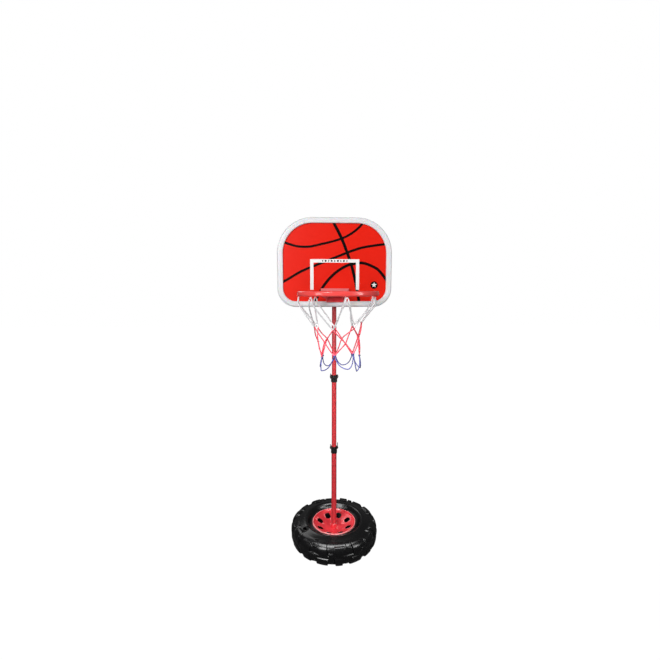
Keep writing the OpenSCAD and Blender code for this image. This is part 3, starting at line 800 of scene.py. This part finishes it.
def makeRibs(name, spec):
    low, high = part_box(name)
    radius = spec["collarMm"] * mm
    steps, sides = spec["steps"], spec["sides"]
    built = bmesh.new()
    bottom, top = low.z + spec["endMm"] * mm, high.z - spec["topMm"] * mm
    for k in range(spec["count"]):
        turn = math.radians(-90 + spec["spanDeg"] * (k / (spec["count"] - 1) - 0.5))
        rings = []
        for j in range(steps + 1):
            share = j / steps
            z = bottom + (top - bottom) * share
            swell = math.sqrt(max(0.0, 1 - (2 * share - 1) ** 8))
            size = spec["tipShare"] + (1 - spec["tipShare"]) * swell
            ring = []
            for i in range(sides):
                a = 2 * math.pi * i / sides
                out = radius + spec["proudMm"] * math.cos(a) * mm * size - spec["sunkMm"] * mm
                side = spec["widthMm"] / 2 * math.sin(a) * mm * size
                ring.append(built.verts.new((out * math.cos(turn) - side * math.sin(turn),
                                             out * math.sin(turn) + side * math.cos(turn), z)))
            rings.append(ring)
        for a, b in zip(rings, rings[1:]):
            for i in range(sides):
                n = (i + 1) % sides
                built.faces.new((a[i], a[n], b[n], b[i]))
        built.faces.new(list(reversed(rings[0])))
        built.faces.new(rings[-1])
    mesh = takeMesh(built, name + "_ribs")
    shadeSmooth(mesh, 60)
    return mesh


for collar, body in (("lower_collar", "base"), ("upper_collar", "middle")):
    newPiece(collar + "_ribs", makeRibs(collar, ribs), body, "black_plastic")
print("collar ribs made")


# ---- net: knotted cord hung from the seven hooks of the rim
net = {
    "hookPhase": 21,
    "hookRadius": 103.5,
    "hookTop": 792.4,
    "saddle": (3.4, 5),     # the cord beside its hook, and where it hangs free: mm sideways and down
    "leg": (6.5, 16),
    "whiteMm": 3.7,         # cord widths
    "redMm": 3.2,
    "blueMm": 2.8,
    "strandMm": 1.1,        # ring spacing along a cord
    "sides": 9,
    "twist": 0.1,           # swelling of the three strands, as a share of the radius
    "twistPitch": 2.2,      # their pitch goes by the radius
    "knotSteps": 42,
    "knotShare": 0.92,      # a knot's cord is pulled a little thinner
    "knotTiltDeg": 70,
}
# knots of the net as angle, radius and height: upper row, middle row and lower row, then the lowest
# point of each blue loop
upperRow = [(-164, 64, 716), (-105, 62, 712), (-61, 66, 722), (-10, 62, 727), (42, 64, 705),
            (94, 62, 705), (145, 63, 708)]
middleRow = [(-131, 55, 679), (-73, 54, 678), (-31, 60, 689), (17, 57, 684), (74, 54, 677),
             (119, 54, 677), (175, 52, 675)]
lowerRow = [(-155, 47, 637), (-104, 50, 645), (-51, 58, 650), (-9, 57, 640), (42, 56, 635),
            (94, 50, 630), (147, 47, 634)]
loopRow = [(-143, 55, 605), (-67, 56, 612), (-40, 60, 604), (9, 61, 603), (71, 52, 603),
           (120, 50, 602), (179, 46, 608)]
rimLow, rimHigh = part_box("rim_ring")
rimCentre = Vector((0, rimLow.y + rimHigh.x, 0))
dice = random.Random(7)


def netPoint(angle, radius, height):
    turn = math.radians(angle)
    return rimCentre + Vector((radius * math.cos(turn), radius * math.sin(turn), height)) * mm


# evenly stepped points on a smooth curve through the given ones
def curveThrough(points, step):
    made = []
    held = [points[0]] + points + [points[-1]]
    for a, b, c, d in zip(held, held[1:], held[2:], held[3:]):
        parts = max(2, round((c - b).length / step))
        for k in range(parts):
            t = k / parts
            made.append(0.5 * (2 * b + (c - a) * t + (2 * a - 5 * b + 4 * c - d) * t * t
                               + (3 * b - a - 3 * c + d) * t ** 3))
    made.append(points[-1])
    return made


# one twisted cord: three strands show as a swelling that winds round it
def addCord(built, uvLayer, points, radius, spec, closed=False):
    sides = spec["sides"]
    count = len(points)
    normal = None
    rings = []
    length = 0.0
    for i, point in enumerate(points):
        ahead = points[(i + 1) % count] if closed or i < count - 1 else point
        behind = points[i - 1] if closed or i > 0 else point
        tangent = (ahead - behind).normalized()
        if normal is None:
            normal = tangent.orthogonal().normalized()
        normal = (normal - tangent * normal.dot(tangent)).normalized()
        binormal = tangent.cross(normal)
        if i:
            length += (point - points[i - 1]).length
        ring = []
        for k in range(sides):
            turn = 2 * math.pi * k / sides
            wound = 3 * turn - length / (spec["twistPitch"] * radius) * 2
            swell = 1 + spec["twist"] * math.cos(wound)
            ring.append(built.verts.new(point + (normal * math.cos(turn) + binormal * math.sin(turn))
                                        * radius * swell))
        rings.append((ring, length))
    pairs = list(zip(rings, rings[1:]))
    if closed:
        pairs.append((rings[-1], rings[0]))
    for (a, la), (b, lb) in pairs:
        for k in range(sides):
            n = (k + 1) % sides
            face = built.faces.new((a[k], a[n], b[n], b[k]))
            for loop, (u, v) in zip(face.loops, ((k, la), (k + 1, la), (k + 1, lb), (k, lb))):
                loop[uvLayer].uv = (u / sides, v / (4 * radius))
    if not closed:
        built.faces.new(list(reversed(rings[0][0])))
        built.faces.new(rings[-1][0])


# a closed overhand loop about a point
def knotPath(centre, size, tilt, spec):
    turn = Matrix.Rotation(tilt, 3, "Z") @ Matrix.Rotation(math.radians(spec["knotTiltDeg"]), 3, "X")
    made = []
    for k in range(spec["knotSteps"]):
        t = 2 * math.pi * k / spec["knotSteps"]
        across = math.sin(t) + 2 * math.sin(2 * t)
        upward = math.cos(t) - 2 * math.cos(2 * t)
        p = Vector((across, upward, -1.3 * math.sin(3 * t)))
        made.append(centre + turn @ p * size)
    return made


# a band of the net: its strands, and its knots as (place, size in mm)
def cordMesh(name, strands, cordMm, spec, knots=()):
    built = bmesh.new()
    uvLayer = built.loops.layers.uv.new("cordMap")
    radius = cordMm / 2 * mm
    for strand in strands:
        addCord(built, uvLayer, curveThrough(strand, spec["strandMm"] * mm), radius, spec)
    for centre, size in knots:
        path = knotPath(centre, size * mm, dice.uniform(0, 6.28), spec)
        addCord(built, uvLayer, path, radius * spec["knotShare"], spec, closed=True)
    mesh = takeMesh(built, name)
    shadeSmooth(mesh)
    return mesh


def jitter(amount):
    return Vector([dice.uniform(-amount, amount) for axis in range(3)]) * mm


def tangentAt(angle):
    turn = math.radians(angle)
    return Vector((-math.sin(turn), math.cos(turn), 0))


upperKnots = [netPoint(*spot) for spot in upperRow]
middleKnots = [netPoint(*spot) for spot in middleRow]
lowerKnots = [netPoint(*spot) for spot in lowerRow]
loopLows = [netPoint(*spot) for spot in loopRow]
columnCount = len(upperRow)


def outward(point):
    return Vector((point.x - rimCentre.x, point.y - rimCentre.y, 0)).normalized()


# from one upper knot over the hook between and down to the next
def whiteStrands(spec):
    made = []
    saddleSide, saddleDown = spec["saddle"]
    legSide, legDown = spec["leg"]
    for k in range(columnCount):
        angle = spec["hookPhase"] + 360 * (k + 4) / columnCount
        before, after = upperKnots[k], upperKnots[(k + 1) % columnCount]
        side = tangentAt(angle)
        top = netPoint(angle, spec["hookRadius"], spec["hookTop"])
        down = Vector((0, 0, 1)) * mm
        left = top - side * saddleSide * mm - down * saddleDown
        right = top + side * saddleSide * mm - down * saddleDown
        leftLow = top - side * legSide * mm - down * legDown
        rightLow = top + side * legSide * mm - down * legDown
        climb = [before.lerp(leftLow, 0.35) + jitter(1.5), before.lerp(leftLow, 0.7) + jitter(1.0)]
        fall = [after.lerp(rightLow, 0.7) + jitter(1.0), after.lerp(rightLow, 0.35) + jitter(1.5)]
        made.append([before] + climb + [leftLow, left, top, right, rightLow] + fall + [after])
    return made


# diamonds: each upper knot to the middle knots beside it, and those to the lower knots
def redStrands():
    made = []
    for k in range(columnCount):
        n = (k + 1) % columnCount
        for high, middle, low in ((upperKnots[k], middleKnots[k], lowerKnots[n]),
                                  (upperKnots[n], middleKnots[k], lowerKnots[k])):
            sag = outward(middle) * dice.uniform(0.5, 2.5) * mm
            made.append([high, high.lerp(middle, 0.5) + sag + jitter(0.8), middle,
                         middle.lerp(low, 0.5) + sag + jitter(0.8), low])
    return made


# how a slack loop hangs between a knot and its lowest point: share across, share down, bulge
hangs = [(0.12, 0.33, 0.7), (0.34, 0.7, 1.0), (0.68, 0.93, 0.7)]


# a slack loop between neighbouring lower knots
def blueStrands():
    made = []
    for k in range(columnCount):
        a, b, low = lowerKnots[k], lowerKnots[(k + 1) % columnCount], loopLows[k]
        swell = outward(low) * 3 * mm
        path = []
        for knot in (a, b):
            side = []
            for across, down, out in hangs:
                spot = knot.lerp(low, across) + swell * out
                spot.z = knot.z + (low.z - knot.z) * down
                side.append(spot)
            path.append(side)
        made.append([a] + path[0] + [low] + path[1][::-1] + [b])
    return made


redKnots = [(p, 0.6) for p in upperKnots] + [(p, 0.5) for p in middleKnots]
blueKnots = [(p, 0.85) for p in lowerKnots]
newPiece("net_white_cords", cordMesh("net_white_cords", whiteStrands(net), net["whiteMm"], net),
         "hoop", "white_cord", "net_white")
newPiece("net_red_cords", cordMesh("net_red_cords", redStrands(), net["redMm"], net, redKnots),
         "hoop", "red_cord", "net_red")
newPiece("net_blue_cords", cordMesh("net_blue_cords", blueStrands(), net["blueMm"], net, blueKnots),
         "hoop", "blue_cord", "net_blue")
print("net made")


# ---- studio: a pale floor, white surroundings, soft lights, and cards that only the gloss reflects
studio = {"floorSize": 14.0, "floorColour": "#5c5c5c", "ambient": 0.12, "backdrop": 1.0,
          "floorLight": 1.03, "floorGlow": 0.98, "fadeFrom": 0.45, "fadeTo": 1.1, "fibreMm": 6.0}
softLights = [
    {"name": "key_light", "place": (-1.2, -2.1, 1.55), "aim": (0, 0, 0.6), "size": 0.9, "watts": 42},
    {"name": "right_light", "place": (1.7, -1.6, 1.3), "aim": (0, 0, 0.5), "size": 0.9, "watts": 15},
    {"name": "top_light", "place": (0.2, -0.75, 2.3), "aim": (0, -0.1, 0.1), "size": 0.6, "watts": 2},
    {"name": "low_fill", "place": (-0.3, -1.9, 0.15), "aim": (0, 0, 0.75), "size": 0.8, "watts": 12,
     "noGloss": True},
    {"name": "back_light", "place": (-0.9, 1.9, 1.0), "aim": (0, 0, 0.6), "size": 1.0, "watts": 26,
     "noGloss": True},
    {"name": "base_box", "place": (0, -0.36, 0.7), "aim": (0, -0.36, 0), "size": 0.7, "depth": 0.07,
     "watts": 2.6},
    {"name": "base_card", "place": (0, -0.33, 0.72), "aim": (0, -0.33, 0), "size": 0.8, "depth": 0.5,
     "watts": 12, "glossOnly": True},
    {"name": "back_card", "place": (-0.7, 1.1, 1.4), "aim": (0, -0.1, 0.07), "size": 1.1, "depth": 0.5,
     "watts": 5, "glossOnly": True},
    {"name": "left_card", "place": (-1.6, -1.2, 0.8), "aim": (0, -0.2, 0.8), "size": 0.5, "depth": 0.3,
     "watts": 4.5, "glossOnly": True},
    {"name": "right_card", "place": (1.6, -1.2, 0.8), "aim": (0, -0.2, 0.8), "size": 0.5, "depth": 0.3,
     "watts": 4.5, "glossOnly": True},
]


def makeFloor(spec):
    half = spec["floorSize"] / 2
    corners = [(-half, -half, 0), (half, -half, 0), (half, half, 0), (-half, half, 0)]
    mesh = bpy.data.meshes.new("studio_floor")
    mesh.from_pydata(corners, [], [(0, 1, 2, 3)])
    floor = bpy.data.objects.new("studio_floor", mesh)
    bpy.context.scene.collection.objects.link(floor)
    # matt paper: burnt out to white as in any bright studio, so that a shadow shows only faintly, and
    # running out into the white surroundings
    material, tree, shader = startMaterial("mattPaper", {"colour": spec["floorColour"], "roughness": 0.9})
    place = addNode(tree, "ShaderNodeTexCoord").outputs["Object"]
    shader.inputs["Specular IOR Level"].default_value = 0.0
    glow = addNode(tree, "ShaderNodeEmission", {"Color": (1, 1, 1, 1), "Strength": spec["floorLight"]})
    ray = addNode(tree, "ShaderNodeLightPath").outputs["Is Camera Ray"]
    reach = addNode(tree, "ShaderNodeVectorMath", {"operation": "LENGTH"}, {0: place})
    fade = addNode(tree, "ShaderNodeMapRange", {"From Min": spec["fadeFrom"], "From Max": spec["fadeTo"],
                                                "To Min": spec["floorGlow"], "To Max": 1.0},
                   {"Value": reach.outputs["Value"]})
    seen = addNode(tree, "ShaderNodeMath", {"operation": "MULTIPLY"}, {0: ray, 1: fade.outputs["Result"]})
    both = addNode(tree, "ShaderNodeMixShader", links={0: seen.outputs["Value"], 1: shader.outputs[0],
                                                       2: glow.outputs[0]})
    tree.links.new(both.outputs[0], tree.nodes["Material Output"].inputs["Surface"])
    fibre = addNode(tree, "ShaderNodeTexNoise", {"Scale": perMetre(spec["fibreMm"]), "Detail": 3.0},
                    {"Vector": place})
    tooth = addNode(tree, "ShaderNodeBump", {"Strength": 0.05, "Distance": 0.1 * mm},
                    {"Height": fibre.outputs["Fac"]})
    tree.links.new(tooth.outputs["Normal"], shader.inputs["Normal"])
    mesh.materials.append(material)


def makeLights(lights):
    for spec in lights:
        data = bpy.data.lights.new(spec["name"], "AREA")
        data.shape = "RECTANGLE"
        data.size = spec["size"]
        data.size_y = spec.get("depth", spec["size"])
        data.energy = spec["watts"]
        light = bpy.data.objects.new(spec["name"], data)
        light.location = spec["place"]
        light.visible_camera = False
        light.visible_diffuse = not spec.get("glossOnly", False)
        light.visible_glossy = not spec.get("noGloss", False)
        aim = Vector(spec["aim"]) - Vector(spec["place"])
        light.rotation_euler = aim.to_track_quat("-Z", "Y").to_euler()
        bpy.context.scene.collection.objects.link(light)


def makeWorld(spec):
    world = bpy.data.worlds.new("white_studio")
    bpy.context.scene.world = world
    world.use_nodes = True
    tree = world.node_tree
    soft = tree.nodes["Background"]
    soft.inputs["Strength"].default_value = spec["ambient"]
    soft.inputs["Color"].default_value = (1, 1, 1, 1)
    seen = addNode(tree, "ShaderNodeBackground", {"Strength": spec["backdrop"], "Color": (1, 1, 1, 1)})
    ray = addNode(tree, "ShaderNodeLightPath").outputs["Is Camera Ray"]
    both = addNode(tree, "ShaderNodeMixShader", links={0: ray, 1: soft.outputs[0], 2: seen.outputs[0]})
    tree.links.new(both.outputs[0], tree.nodes["World Output"].inputs["Surface"])


makeFloor(studio)
makeLights(softLights)
makeWorld(studio)
bpy.context.scene.view_settings.view_transform = "Standard"
print("studio made")
